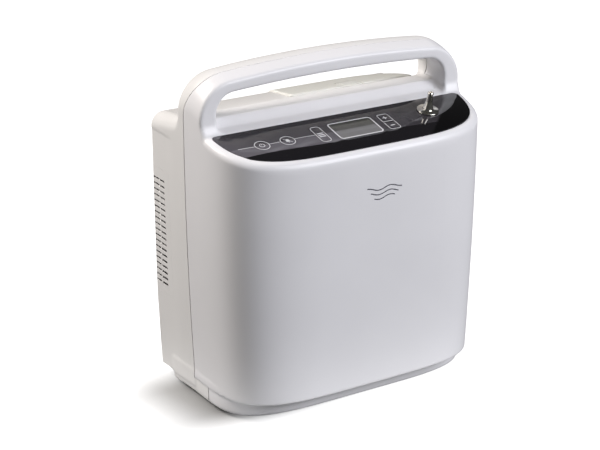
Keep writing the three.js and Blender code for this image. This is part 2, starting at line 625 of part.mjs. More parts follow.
addPiece('fixed_scroll', cut(
  join(
    cut(post(COMP.x, COMP.y, 71.8, 90, 38, 38, 22), post(COMP.x, COMP.y, 70, 83.2, 33.6, 33.6, 22)),
    wrap(COMP.x, COMP.y, Math.PI, 75.5, 83.4),
    post(COMP.x, COMP.y, 89.8, 95, 6, 6, 16), post(COMP.x - 24, COMP.y, 89.8, 95, 6, 6, 16)),
  post(COMP.x, COMP.y, 74, 98, 2, 2, 10), post(COMP.x - 28, COMP.y, 80, 98, 2.6, 2.6, 10)), ALUMINIUM);
[90, 210, 330].forEach((deg, i) => {
  const a = THREE.MathUtils.degToRad(deg);
  const x = COMP.x + 22 * Math.cos(a);
  const y = COMP.y + 22 * Math.sin(a);
  addPiece(`isolator_${i + 1}`, turned(x, y, [
    [0, 9.3], [6, 9.3], [4.4, 12.8], [6, 16.4], [0, 16.4],
  ], 14), RUBBER);
});

// ------------------------------------------------------------- gas path parts
BED.xs.forEach((x, i) => {
  addPiece(`sieve_bed_${'ab'[i]}`, turned(x, BED.y, [
    [0, BED.z0 - 9], [6, BED.z0 - 9], [6, BED.z0 - 2], [BED.r - 2.5, BED.z0 - 2],
    [BED.r, BED.z0 + 1], [BED.r, BED.z1 - 3], [BED.r - 2.5, BED.z1], [0, BED.z1],
  ], 20), ALUMINIUM);
});
addPiece('valve_manifold', cut(
  join(box(14, 116, -44, -12, BED.z1 + GAP, BED.z1 + 16), box(2, 15, -36, -20, BED.z1 + 2, BED.z1 + 12)),
  post(66, -28, BED.z1 - 1, BED.z1 + 20, 4, 4, 12)), ALUMINIUM);
[29, 51, 81, 103].forEach((x, i) => {
  addPiece(`solenoid_valve_${i + 1}`, join(
    post(x, BED.y, BED.z1 + 16.3, BED.z1 + 31, 7.6, 7.6, 18),
    box(x - 9, x + 9, BED.y - 9, BED.y + 9, BED.z1 + 16.3, BED.z1 + 18.6),
    post(x, BED.y, BED.z1 + 30.9, BED.z1 + 34, 3.4, 2.6, 12)), BLACK_ABS);
});
addPiece('product_tank', turned(66, 5, [
  [0, 14], [4, 14], [4, 19], [11, 20], [13.5, 23], [13.5, 140], [11, 144], [4, 145], [4, 150], [0, 150],
], 22), NATURAL);

// Finned-tube cooler drawn as a copper coil above the compressor.
const coilPath = [[COMP.x, COMP.y, 95.3], [COMP.x, COMP.y, 98], [COMP.x + 6, COMP.y - 2, 104]];
for (let i = 0; i <= 27; i++) {
  const a = (i / 9) * 2 * Math.PI - 0.6;
  coilPath.push([COMP.x + 23.5 * Math.cos(a), COMP.y + 23.5 * Math.sin(a), 108 + i * 1.25]);
}
coilPath.push([-30, -36, 150], [-18, -31, 168], [-9, -28, 178.4], [-3, -28, 179], [1.2, -28, 179]);
addPiece('cooling_coil', pipe(coilPath, 2.6, 72, 6), COPPER);
addPiece('product_hose', pipe([
  [66, 5, 150.3], [66, 4, 160], [66, 8, 184], [70, 6, 206], [76, -14, 216],
  [OUTLET_X, -33.6, 222.5],
], 2.4, 22, 8), NATURAL);
addPiece('exhaust_muffler', turned(4, -46, [
  [0, 12], [4, 12], [4, 17], [11, 18], [11, 60], [4, 62], [4, 67], [0, 67],
], 18), BLACK_ABS);
addPiece('intake_filter', join(
  post(-100, 4, 96, 126, 13, 13, 20), post(-100, 4, 125.9, 132, 4, 4, 12)), NATURAL);

// -------------------------------------------------------------- fan and boards
const fanHalf = FAN.size / 2;
const fanFrame = cut(
  box(FAN.x - fanHalf, FAN.x + fanHalf, FAN.y - FAN.depth / 2, FAN.y + FAN.depth / 2,
    FAN.z - fanHalf, FAN.z + fanHalf),
  drum(FAN.x, FAN.z, FAN.y - 20, FAN.y + 20, 36.5, 32));
const struts = join(
  box(FAN.x - 38, FAN.x + 38, FAN.y - 11, FAN.y - 8.6, FAN.z - 2, FAN.z + 2),
  box(FAN.x - 2, FAN.x + 2, FAN.y - 11, FAN.y - 8.6, FAN.z - 38, FAN.z + 38),
  drum(FAN.x, FAN.z, FAN.y - 11, FAN.y - 8.4, 15, 24),
  drum(FAN.x, FAN.z, FAN.y - 8.6, FAN.y + 2, 2.4, 12));
addPiece('fan_housing', join(fanFrame, struts), BLACK_ABS);
const blades = join(...Array.from({ length: 7 }, (_, i) => {
  const g = new THREE.BoxGeometry(24, 13, 1.4).rotateX(0.6).translate(22.5, 0, 0);
  return solidOf(g.rotateY((i / 7) * 2 * Math.PI).translate(FAN.x, FAN.y + 1.6, FAN.z));
}));
addPiece('fan_rotor', cut(
  join(drum(FAN.x, FAN.z, FAN.y - 7.6, FAN.y + 9.6, 14, 24), blades),
  drum(FAN.x, FAN.z, FAN.y - 9, FAN.y + 3.4, 2.8, 12)), BLACK_ABS);

const mainBoard = join(
  box(-106, 0, 18, 19.6, 126, 212),
  box(-98, -78, 8, 18.1, 186, 206), box(-60, -46, 12, 18.1, 188, 206),
  box(-36, -16, 14.5, 18.1, 170, 190), box(-30, -8, 10, 18.1, 194, 206),
  ...[-104, -70, -38, -4].map((x) => box(x - 1, x + 1, 19.5, 21.7, 208, 210)),
  post(-88, 12, 166, 180, 5, 5, 14).translate(0, 1.2, 0));
addPiece('main_board', mainBoard, BOARD);
addPiece('power_board', join(
  box(-106, -26, 32, 33.6, 16, 72), box(-98, -76, 33.5, 48, 22, 44),
  box(-50, -36, 33.5, 42, 24, 60), ...[0, 1, 2].map((i) => drum(-68, 24 + i * 16, 33.5, 46, 6, 14))),
BOARD);

export default unit;
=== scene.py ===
"""Portable oxygen concentrator: the looks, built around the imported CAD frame.

The two case shells are level sets of one signed-distance description of the case, cut along the
seam. Everything small is drawn as outlines, lathes and bevelled blocks. Lengths in this file are
millimetres in the CAD frame; piece() turns a finished mesh into metres.
"""

import math

import bmesh
import bpy
import numpy as np
import openvdb
from mathutils import Matrix, Vector


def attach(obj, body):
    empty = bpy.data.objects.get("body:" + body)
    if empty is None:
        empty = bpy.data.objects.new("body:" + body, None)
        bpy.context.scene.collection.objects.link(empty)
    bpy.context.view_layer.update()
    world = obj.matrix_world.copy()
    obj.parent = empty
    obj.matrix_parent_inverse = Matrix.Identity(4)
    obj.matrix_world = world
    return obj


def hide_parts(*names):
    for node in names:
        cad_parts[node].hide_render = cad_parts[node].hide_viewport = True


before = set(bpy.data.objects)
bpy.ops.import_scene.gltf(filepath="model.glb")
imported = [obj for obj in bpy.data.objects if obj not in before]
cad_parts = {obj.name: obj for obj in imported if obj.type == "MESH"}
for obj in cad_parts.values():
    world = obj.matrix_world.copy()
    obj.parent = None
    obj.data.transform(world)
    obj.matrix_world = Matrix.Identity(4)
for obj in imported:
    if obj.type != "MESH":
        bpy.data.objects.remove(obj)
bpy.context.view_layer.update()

MM = 0.001

# ------------------------------------------------------------------ driving sizes, as in the CAD
HALF = 127.0                    # half width of the case
FRONT, BACK = -76.2, 76.2
CROWN = 292.0                   # top of the handle
SEAM_Y = 15.0                   # where the two shells meet
SEAM_FOOT_Y, SEAM_FOOT_Z = -8.0, 16.5
SEAM_GAP = 1.15                 # open below the handle
HANDLE_GAP = 0.8                # over the handle
RIDGE_SEAM_Y = 3.0              # on the ridge the joint runs further forward
CROWN_SEAM_SHIFT = 14.0         # and up the handle it swings forward by this much
NOSE = 4.4                      # superellipse exponent of the bowed front
BACK_CORNER = 4.0
BASE_Z, SKIRT_Z, REAR_Z, PLINTH_TOP = 3.0, 18.0, 9.5, 24.0
PLINTH_FRONT, PLINTH_BACK, PLINTH_CORNER = -61.0, 58.0, 12.0
LEAN, WIDEST_Z = 5.4, 215.0
LEAN_LOST_BEHIND = 0.8          # share of the lean that is gone at the back
LIP, LIP_Z = 0.5, 226.0         # the top of the rear half stands out over the walls below
TUCK, TUCK_Z = 0.07, 75.0
WALL = 2.8
PANEL_SLOPE, PANEL_FRONT_Z, PANEL_FRONT_Y = 0.232, 227.4, -75.0
PANEL_TILT = math.atan(PANEL_SLOPE)
RIM, HANDLE_EDGE = 5.5, 2.5     # edge radii of the panel rim and of the front of the handle
DECK_Z, RIDGE_Z = 244.4, 248.5
HANDLE_FRONT, HANDLE_BACK = -13.0, 28.0
HANDLE_RIDGE_Y = 8.0            # the highest line along the bar
LEDGE = 4.5                     # step up in front of the handle's legs
STEP_START_Y = -9.0             # the floor of the hand opening leaves the panel plane here
CHAMFER_Z = 236.8               # height of the sloping rear shoulders at the side walls
SHOULDER = 28.0                 # outer corner radius of the handle
SAG = 4.6                       # the bar bows down this much 100 mm from its middle
HAND_HALF, HAND_TOP, HAND_CORNER = 111.5, 276.5, 16.0
OVERLAY_HALF, OVERLAY_FRONT, OVERLAY_BACK = 120.8, -70.6, -17.5
OVERLAY_TOP, OVERLAY_T = 0.2, 1.4
PANEL_ROW = 24.8                # the key row, down the slope from the overlay's back edge
POWER_X, ALARM_X, MODE_X, LCD_X, LEVEL_X = -86.8, -63.1, -32.0, 1.6, 34.4
ROUND_KEY = 6.6
TALL_KEY, LCD, LEVEL_KEY = (9.4, 24.0), (42.6, 25.4), (11.0, 11.8)
LEVEL_STEP = LEVEL_KEY[1] / 2 + 0.35
TALL_CORNER, LEVEL_CORNER, LCD_CORNER = 3.4, 2.6, 3.5
OUTLET_X, OUTLET_ROW = 77.4, 19.6
KEY_GAP = 0.3
BAY = {"x": (-14.0, 112.0), "y": (34.0, 69.0), "z": (62.0, 248.0)}
BAY_FACE = (-9.0, 107.0)
LID_Z, LID_TOP = 238.0, 246.2
LID_MIDDLE, LID_RADII, LID_POWER = (20.0, 18.0), (94.5, 54.5), 3.5
DOOR_X, DOOR_Y, DOOR_Z = -84.0, 45.0, (80.0, 193.0)
LOUVRES, LOUVRE_FOOT, LOUVRE_PITCH, LOUVRE_H = 19, 87.8, 5.2, 2.3


# ------------------------------------------------------------------------------ meshes and solids
def mesh_object(name, points, faces):
    mesh = bpy.data.meshes.new(name)
    mesh.from_pydata([tuple(p) for p in points], [], faces)
    mesh.update()
    obj = bpy.data.objects.new(name, mesh)
    bpy.context.scene.collection.objects.link(obj)
    return obj


def piece(obj, body, material, slot, *nodes, sharp=32):
    """Scales a finished millimetre mesh to metres and hands it to the frame."""
    obj.data.transform(Matrix.Scale(MM, 4))
    obj.data.polygons.foreach_set("use_smooth", [True] * len(obj.data.polygons))
    obj.data.set_sharp_from_angle(angle=math.radians(sharp))
    obj.data.materials.clear()
    obj.data.materials.append(material)
    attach(obj, body)
    if nodes:
        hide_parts(*nodes)
    return obj


def drop(*objs):
    """Takes helper objects away again."""
    for obj in objs:
        bpy.data.objects.remove(obj)


def combine(obj, tool, operation):
    """Boolean of two closed millimetre meshes; the tool is used up."""
    modifier = obj.modifiers.new("cut", "BOOLEAN")
    modifier.operation = operation
    modifier.solver = "MANIFOLD"
    modifier.object = tool
    apply_modifiers(obj)
    drop(tool)
    return obj


def apply_modifiers(obj):
    """Keeps the mesh that the modifiers make and removes them."""
    bpy.context.view_layer.update()
    graph = bpy.context.evaluated_depsgraph_get()
    mesh = bpy.data.meshes.new_from_object(obj.evaluated_get(graph))
    obj.modifiers.clear()
    old = obj.data
    obj.data = mesh
    bpy.data.meshes.remove(old)
    return obj


def cut(obj, *tools):
    for tool in tools:
        combine(obj, tool, "DIFFERENCE")
    return obj


def keep(obj, tool):
    return combine(obj, tool, "INTERSECT")


def weld(obj, *tools):
    for tool in tools:
        combine(obj, tool, "UNION")
    return obj


def twin(obj):
    """Independent copy of a mesh object."""
    copy = obj.copy()
    copy.data = obj.data.copy()
    bpy.context.scene.collection.objects.link(copy)
    return copy


def bevel(obj, width, segments=3, angle=35):
    """Rounds every edge sharper than the angle, in degrees."""
    modifier = obj.modifiers.new("edge", "BEVEL")
    modifier.width = width
    modifier.segments = segments
    modifier.limit_method = "ANGLE"
    modifier.angle_limit = math.radians(angle)
    modifier.harden_normals = False
    return apply_modifiers(obj)


def prism(name, outline, lo, hi, place=lambda u, v, w: (u, v, w)):
    """Closed outline of (u, v) points raised from w = lo to hi; `place` says where u, v, w go."""
    n = len(outline)
    points = [place(u, v, lo) for u, v in outline] + [place(u, v, hi) for u, v in outline]
    faces = [tuple(range(n))[::-1], tuple(range(n, 2 * n))]
    faces += [(i, (i + 1) % n, n + (i + 1) % n, n + i) for i in range(n)]
    return outward(mesh_object(name, points, faces))


def outward(obj):
    """Splits the large faces into triangles and turns every face outward."""
    bm = bmesh.new()
    bm.from_mesh(obj.data)
    bmesh.ops.triangulate(bm, faces=[f for f in bm.faces if len(f.verts) > 4])
    bmesh.ops.recalc_face_normals(bm, faces=bm.faces)
    if bm.calc_volume(signed=True) < 0:
        bmesh.ops.reverse_faces(bm, faces=bm.faces)
    bm.to_mesh(obj.data)
    bm.free()
    return obj


def block(name, x, y, z, radius=0.0):
    """Box between pairs of limits, its edges rounded."""
    outline = [(x[0], y[0]), (x[1], y[0]), (x[1], y[1]), (x[0], y[1])]
    obj = prism(name, outline, *z)
    return bevel(obj, radius) if radius else obj


def turned(name, profile, x=0.0, y=0.0, sides=64):
    """Lathe of [radius, z] points about an upright axis; the profile starts and ends on the axis."""
    points, rings = [], []
    for r, z in profile:
        if r < 1e-6:
            rings.append([len(points)])
            points.append((x, y, z))
            continue
        rings.append(list(range(len(points), len(points) + sides)))
        for i in range(sides):
            a = 2 * math.pi * i / sides
            points.append((x + r * math.cos(a), y + r * math.sin(a), z))
    faces = []
    for a, b in zip(rings, rings[1:]):
        for i in range(sides):
            j = (i + 1) % sides
            face = [a[i % len(a)], a[j % len(a)], b[j % len(b)], b[i % len(b)]]
            face = list(dict.fromkeys(face))
            if len(face) > 2:
                faces.append(tuple(face))
    return outward(mesh_object(name, points, faces))


def arc(cx, cy, r, start, end, steps):
    """Points of a circular arc, angles in degrees."""
    turn = [math.radians(start + (end - start) * i / steps) for i in range(steps + 1)]
    return [(cx + r * math.cos(a), cy + r * math.sin(a)) for a in turn]


def rounded(w, h, r, x=0.0, y=0.0, steps=8):
    """Outline of a rounded rectangle."""
    corners = [(w / 2 - r, h / 2 - r, 0), (r - w / 2, h / 2 - r, 90),
               (r - w / 2, r - h / 2, 180), (w / 2 - r, r - h / 2, 270)]
    return [p for cx, cy, a in corners for p in arc(x + cx, y + cy, r, a, a + 90, steps)]


def circle(r, x=0.0, y=0.0, steps=48):
    return arc(x, y, r, 0, 360, steps)[:-1]


# -------------------------------------------------------------------------- signed-distance case
def round_max(a, b, r):
    """Intersection of two solids with its edge rounded to radius r."""
    outside = np.hypot(np.maximum(a + r, 0), np.maximum(b + r, 0))
    return np.minimum(np.maximum(a, b), -r) + outside


def round_min(a, b, r):
    """Union of two solids with a fillet of radius r in the corner."""
    return -round_max(-a, -b, r)


def smoothstep(t):
    t = np.clip(t, 0, 1)
    return t * t * (3 - 2 * t)


def panel_z(y):
    """Height of the sloping panel plane."""
    return PANEL_FRONT_Z + PANEL_SLOPE * (y - PANEL_FRONT_Y)


def plan(x, y, half, front, back, corner):
    """Distance in plan to an outline bowed in front of the seam and square behind it."""
    u = np.abs(x) / half
    depth = SEAM_Y - front
    v = np.maximum(SEAM_Y - y, 0) / depth
    size = np.maximum((u ** NOSE + v ** NOSE) ** (1 / NOSE), 1e-3)
    slope = np.hypot(u ** (NOSE - 1) / half, v ** (NOSE - 1) / depth) * size ** (1 - NOSE)
    bowed = (size - 1) / np.maximum(slope, 1e-4)
    square = round_max(np.abs(x) - half, y - back, corner)
    return np.where(y < SEAM_Y, bowed, square)


def side_x(y, z):
    """Half width of the case: the sides lean in towards the base, less so at the back."""
    share = np.clip((WIDEST_Z - z) / (WIDEST_Z - SKIRT_Z), 0, 1)
    behind = np.clip((y - SEAM_Y) / (BACK - SEAM_Y), 0, 1)
    return HALF - LEAN * share ** 2 * (1 - LEAN_LOST_BEHIND * behind)


def case_plan(x, y, z):
    """Walls of the case: the back draws in below, under a small lip at the top."""
    draw = 1 - TUCK * np.maximum(0, 1 - z / TUCK_Z)
    tucked = np.where(y > SEAM_Y, SEAM_Y + (y - SEAM_Y) / draw, y)
    lip = LIP * smoothstep((LIP_Z - z) / 1.5) * smoothstep((y - 33.0) / 18.0)
    return plan(x, tucked, side_x(y, z), FRONT, BACK, BACK_CORNER) + lip


def bar_top(x, y):
    """Top of the handle: bowed along X, rolled down to the front and to the back."""
    middle = HANDLE_RIDGE_Y
    ahead = 5.0 * (np.maximum(middle - y, 0) / (middle - HANDLE_FRONT)) ** 1.6
    behind = 6.0 * np.clip((y - middle) / (HANDLE_BACK - middle), 0, 1.15) ** 2
    return CROWN - SAG * (x / 100) ** 2 - ahead - behind


def floor_z(y):
    """Floor of the hand opening: the panel plane, a step up to the ridge, then the deck."""
    foot, top = panel_z(STEP_START_Y), RIDGE_Z + 0.6
    step = (top - foot) * smoothstep((y - STEP_START_Y) / 14.0)
    rise = np.where(y < STEP_START_Y, panel_z(y), foot + step)
    return rise - (top - DECK_Z) * smoothstep((y - 21.0) / 8.0)


def deck_drop(x, y, start):
    """How far the top behind the handle falls away: a gentle slope, then a roll at its edge."""
    u = np.maximum(x - LID_MIDDLE[0], 0) / LID_RADII[0]
    v = np.maximum(y - LID_MIDDLE[1], 0) / LID_RADII[1]
    away = (u ** LID_POWER + v ** LID_POWER) ** (1 / LID_POWER)
    return 0.115 * (y - 36.0) + 60.0 * np.maximum(away - start, 0) ** 2


def case_solid(x, y, z):
    """Signed distance to the outside of the whole case."""
    wall = case_plan(x, y, z)
    shoulders = round_max(wall, z - bar_top(x, y), SHOULDER)
    ledge = LEDGE * smoothstep((y + 18.2) / 6.0)
    panel = (z - panel_z(y) - ledge) * math.cos(PANEL_TILT)
    ahead = round_min(panel, HANDLE_FRONT - y, 4.0)
    chamfer = 0.6 * (np.abs(x) - HALF) + 0.8 * (z - CHAMFER_Z + 0.15 * (y - 50.0))
    deck = round_max(z - DECK_Z + deck_drop(x, y, 0.85), chamfer, 1.0)
    behind = round_min(deck, y - HANDLE_BACK, 7.0)
    edge = RIM - (RIM - HANDLE_EDGE) * smoothstep((z - 236.0) / 16.0)
    body = round_max(shoulders, ahead, edge)
    body = round_max(body, behind, 5.0)
    lower = np.maximum(np.minimum(SKIRT_Z - z, SEAM_Y - y), REAR_Z - z)
    body = round_max(body, lower, 0.4 + 1.6 * smoothstep((-25.0 - y) / 40.0))
    arch = HAND_TOP - 3.2 * (x / 95) ** 2
    hand = round_max(np.abs(x) - HAND_HALF, z - arch, HAND_CORNER)
    hand = round_max(hand, floor_z(y) - z, 6.0)
    body = round_max(body, -hand, 2.2)
    foot = plan(x, y, side_x(y, BASE_Z) - 0.1, PLINTH_FRONT, PLINTH_BACK, PLINTH_CORNER)
    foot = round_max(foot, np.maximum(z - PLINTH_TOP, BASE_Z - z), 2.0)
    return round_min(body, foot, 2.5)


def lid_solid(x, y, z):
    """Battery lid: a low cushion in line with the deck, a step above it on the left."""
    middle, half = sum(BAY["x"]) / 2, (BAY["x"][1] - BAY["x"][0]) / 2
    back = BACK - 0.4
    sides = round_max(np.abs(x - middle) - half,
                      np.abs(y - (BAY["y"][0] + back) / 2) - (back - BAY["y"][0]) / 2, 4.0)
    top = round_max(sides, z - LID_TOP + deck_drop(x, y, 0.82), 1.6)
    return np.maximum(top, LID_Z + 0.3 - z)


def level_set(name, solid, lo, hi, step, offset=0.0, adaptivity=0.0):
    """Mesh of solid(x, y, z) = offset inside a box, its points drawn onto the exact surface."""
    counts = [int(math.ceil((b - a) / step)) + 1 for a, b in zip(lo, hi)]
    axes = [np.float32(a) + np.float32(step) * np.arange(n, dtype=np.float32)
            for a, n in zip(lo, counts)]
    x, y, z = axes[0][:, None, None], axes[1][None, :, None], axes[2][None, None, :]
    band = 3 * step
    field = np.clip(solid(x, y, z) - offset, -band, band).astype(np.float32)
    grid = openvdb.FloatGrid(band)
    grid.copyFromArray(np.ascontiguousarray(field), tolerance=1e-6)
    points, triangles, quads = grid.convertToPolygons(isovalue=0.0, adaptivity=adaptivity)
    points = points.astype(np.float64) * step + np.array(lo)
    for _ in range(3):
        points = drawn_to(solid, points, offset)
    faces = [tuple(int(i) for i in f) for kind in (triangles, quads) for f in kind]
    return outward(mesh_object(name, points, faces))


def drawn_to(solid, points, offset):
    """One Newton step towards the surface, no longer than half a millimetre."""
    reach = 0.05
    here = solid(*points.T) - offset
    slope = np.empty_like(points)
    for axis in range(3):
        shift = np.zeros(3)
        shift[axis] = reach
        slope[:, axis] = (solid(*(points + shift).T) - solid(*(points - shift).T)) / (2 * reach)
    length = np.maximum(np.einsum("ij,ij->i", slope, slope), 0.05)
    move = slope * (here / length)[:, None]
    size = np.maximum(np.linalg.norm(move, axis=1, keepdims=True), 1e-9)
    return points - move * np.minimum(1, 0.5 / size)


# ------------------------------------------------------------------------------------- materials
def new_material(name):
    material = bpy.data.materials.new(name)
    material.use_nodes = True
    tree = material.node_tree
    shader = next(n for n in tree.nodes if n.type == "BSDF_PRINCIPLED")
    return material, tree, shader


def add(tree, kind, **values):
    """New node; each value goes to the input of that name, or else to the node's own setting."""
    node = tree.nodes.new(kind)
    for key, value in values.items():
        if key in node.inputs:
            node.inputs[key].default_value = value
        else:
            setattr(node, key, value)
    return node


def noise(tree, scale, detail=3.0):
    """Noise over the object's own coordinates; scale is in features per metre."""
    place = add(tree, "ShaderNodeTexCoord")
    made = add(tree, "ShaderNodeTexNoise", Scale=scale, Detail=detail, Roughness=0.5)
    tree.links.new(place.outputs["Object"], made.inputs["Vector"])
    return made.outputs["Fac"]


def between(tree, factor, low, high):
    """Factor 0..1 turned into low..high."""
    node = add(tree, "ShaderNodeMapRange")
    node.inputs["To Min"].default_value = low
    node.inputs["To Max"].default_value = high
    tree.links.new(factor, node.inputs["Value"])
    return node.outputs["Result"]


def shades(tree, factor, dark, light):
    """Colour between two shades, from the middle range of a noise factor."""
    ramp = add(tree, "ShaderNodeValToRGB")
    ramp.color_ramp.elements[0].position = 0.35
    ramp.color_ramp.elements[1].position = 0.65
    ramp.color_ramp.elements[0].color = (*dark, 1)
    ramp.color_ramp.elements[1].color = (*light, 1)
    tree.links.new(factor, ramp.inputs["Fac"])
    return ramp.outputs["Color"]


def surface(name, dark, light, rough, grain=900.0, depth=0.02, metal=0.0, coat=0.0, mottle=14.0):
    """Moulded, cast or painted surface: soft colour drift, fine grain in gloss and height."""
    material, tree, shader = new_material(name)
    tree.links.new(shades(tree, noise(tree, mottle), dark, light), shader.inputs["Base Color"])
    fine = noise(tree, grain, 4.0)
    tree.links.new(between(tree, fine, rough[0], rough[1]), shader.inputs["Roughness"])
    bump = add(tree, "ShaderNodeBump", Strength=0.35, Distance=depth * MM)
    tree.links.new(fine, bump.inputs["Height"])
    tree.links.new(bump.outputs["Normal"], shader.inputs["Normal"])
    shader.inputs["Metallic"].default_value = metal
    shader.inputs["IOR"].default_value = 1.5
    if coat:
        shader.inputs["Coat Weight"].default_value = coat
        shader.inputs["Coat Roughness"].default_value = 0.05
    return material


def grey(value):
    return (value, value, value)


WHITE_FRONT = surface("white_front", (0.735, 0.73, 0.747), (0.755, 0.75, 0.767), (0.34, 0.44))
WHITE_REAR = surface("white_rear", (0.735, 0.727, 0.722), (0.755, 0.747, 0.742), (0.36, 0.46))
CREAM = surface("cream_lid", (0.72, 0.723, 0.685), (0.74, 0.743, 0.705), (0.38, 0.48))
KEY_BLACK = surface("gloss_key", grey(0.028), (0.034, 0.031, 0.035), (0.05, 0.09), coat=0.3)
PRINT = surface("printed_grey", (0.62, 0.62, 0.64), (0.70, 0.70, 0.72), (0.3, 0.4), grain=2500)
MARK = surface("printed_mark", (0.09, 0.09, 0.11), (0.12, 0.12, 0.14), (0.3, 0.4), grain=2500)
NICKEL = surface("nickel", (0.60, 0.58, 0.53), (0.70, 0.68, 0.63), (0.13, 0.24), metal=1, grain=1500)
STEEL = surface("steel", (0.42, 0.43, 0.45), (0.56, 0.57, 0.58), (0.25, 0.4), metal=1)
COPPER = surface("copper", (0.62, 0.28, 0.14), (0.74, 0.38, 0.2), (0.25, 0.4), metal=1)
ALUMINIUM = surface("aluminium", (0.52, 0.53, 0.55), (0.66, 0.67, 0.68), (0.32, 0.5), metal=1)
RUBBER = surface("rubber", grey(0.012), grey(0.02), (0.7, 0.9), depth=0.06)
BLACK_ABS = surface("black_abs", grey(0.016), grey(0.024), (0.42, 0.6), depth=0.05)
BOARD = surface("board", (0.01, 0.10, 0.035), (0.015, 0.15, 0.05), (0.35, 0.5), mottle=120, coat=0.4)
FOAM = surface("foam", grey(0.02), grey(0.05), (0.9, 1.0), grain=1400, depth=0.8, mottle=900)
CELL_WRAP = surface("cell_wrap", (0.03, 0.11, 0.30), (0.04, 0.14, 0.36), (0.2, 0.35), coat=0.5)
NATURAL = surface("natural", (0.62, 0.59, 0.50), (0.70, 0.67, 0.58), (0.4, 0.55))
LCD_GREY = surface("display_grey", (0.10, 0.105, 0.095), (0.13, 0.135, 0.12), (0.05, 0.1), coat=0.6)

SLOT_MATERIALS = {
    "white_front": WHITE_FRONT, "white_rear": WHITE_REAR, "gloss_black": KEY_BLACK,
    "display_grey": LCD_GREY, "nickel": NICKEL, "steel": STEEL, "copper": COPPER,
    "aluminium": ALUMINIUM, "rubber": RUBBER, "black_abs": BLACK_ABS, "board": BOARD,
    "foam": FOAM, "cell_wrap": CELL_WRAP, "natural": NATURAL,
}


# ------------------------------------------------------------------------------------ case shells
def seam_side(name, side):
    """Everything on one side of the seam: side -1 is the front, +1 the back."""
    def gap(z):
        return SEAM_GAP + (HANDLE_GAP - SEAM_GAP) * float(smoothstep((z - 246.0) / 16.0))

    shift = side * SEAM_GAP / 2
    edge = [(SEAM_FOOT_Y + shift, -5.0), (SEAM_FOOT_Y + shift, SEAM_FOOT_Z + side * 0.1),
            (SEAM_Y + shift, SEAM_FOOT_Z + side * 0.1)]
    for i in range(17):
        z = 244.0 + (CROWN - 244.0) * i / 16
        swing = CROWN_SEAM_SHIFT * float(smoothstep((z - 250.0) / (CROWN - 250.0)))
        edge.append((SEAM_Y - swing + side * gap(z) / 2, z))
    edge.append((edge[-1][0], 300.0))
    far = 100.0 * side
    outline = [(far, -5.0)] + edge + [(far, 300.0)]
    tool = prism(name, outline, -140, 140, lambda u, v, w: (w, u, v))
    half, top = HAND_HALF + 0.2, RIDGE_Z + 2.6
    if side > 0:
        return weld(tool, block("ridge", (-half, half), (RIDGE_SEAM_Y + 0.1, SEAM_Y + 1), (236, top)))
    return cut(tool, block("ridge", (-half - 0.2, half + 0.2), (RIDGE_SEAM_Y - 0.1, SEAM_Y + 1),
                           (235.8, top + 0.2)))


def bay(name, gap):
    """Room for the battery: its well, the lid's recess above and the opening in the back wall."""
    x0, x1 = BAY["x"][0] - gap, BAY["x"][1] + gap
    y0, z0 = BAY["y"][0] - gap, BAY["z"][0] - gap
    room = block(name, (x0, x1), (y0, BAY["y"][1] + gap), (z0, 262))
    above = block("above", (x0, x1), (y0, 84), (LID_Z - gap, 262))
    behind = block("behind", (BAY_FACE[0] - gap, BAY_FACE[1] + gap), (BAY["y"][1] - 2, 84), (z0, 262))
    return weld(room, above, behind)


def door_region(name, gap):
    """The back left corner that comes away with the louvred door."""
    return block(name, (-130, DOOR_X + gap), (DOOR_Y - gap, 90), (DOOR_Z[0] - gap, DOOR_Z[1] + gap))


def slot(name, x, y, z):
    """Long slot cutter with rounded ends."""
    r = min(x[1] - x[0], z[1] - z[0]) / 2 - 0.01
    outline = rounded(x[1] - x[0], z[1] - z[0], r, sum(x) / 2, sum(z) / 2, 6)
    return prism(name, outline, *y, lambda u, v, w: (u, w, v))


def make_shells():
    """Front and rear shell, and the whole skin that the door is cut from."""
    lo, hi = (-131.0, -80.0, -1.0), (131.0, 80.0, 296.0)
    outer = level_set("louvred_door", case_solid, lo, hi, 1.5)
    inner = level_set("room", case_solid, lo, hi, 2.5, offset=-WALL)
    walls = block("walls", (BAY["x"][0] - WALL, BAY["x"][1] + WALL), (BAY["y"][0] - WALL, 84),
                  (BAY["z"][0] - WALL, 262))
    skin = cut(twin(outer), twin(inner))
    front = keep(twin(skin), seam_side("ahead", -1))
    rear = keep(outer, seam_side("behind", 1))
    cut(rear, cut(inner, walls))
    front.name, rear.name = "front_shell_skin", "rear_shell_skin"
    return front, rear, skin


def on_panel(obj):
    """From the panel's own frame, x across, y up the slope, z out of it, to the case."""
    place = Matrix.Translation((0, OVERLAY_BACK, panel_z(OVERLAY_BACK)))
    obj.data.transform(place @ Matrix.Rotation(PANEL_TILT, 4, "X"))
    return obj


def overlay_outline(grow):
    """Bowed front edge, straight back edge, and a small round at each back corner."""
    half, depth = OVERLAY_HALF + grow, SEAM_Y - OVERLAY_FRONT + grow
    corner = 4.5 + grow
    slope = math.cos(PANEL_TILT)
    side = half * (1 - ((SEAM_Y - OVERLAY_BACK + corner) / depth) ** NOSE) ** (1 / NOSE)
    front = []
    for i in range(97):
        t = math.pi * i / 96
        x = -math.copysign(half * abs(math.cos(t)) ** (2 / NOSE), math.cos(t))
        y = SEAM_Y - depth * math.sin(t) ** (2 / NOSE)
        if y < OVERLAY_BACK - corner:
            front.append((x, (y - OVERLAY_BACK) / slope))
    right = arc(side - corner, grow - corner, corner, 0, 90, 8)
    left = arc(corner - side, grow - corner, corner, 90, 180, 8)
    return front + right + left


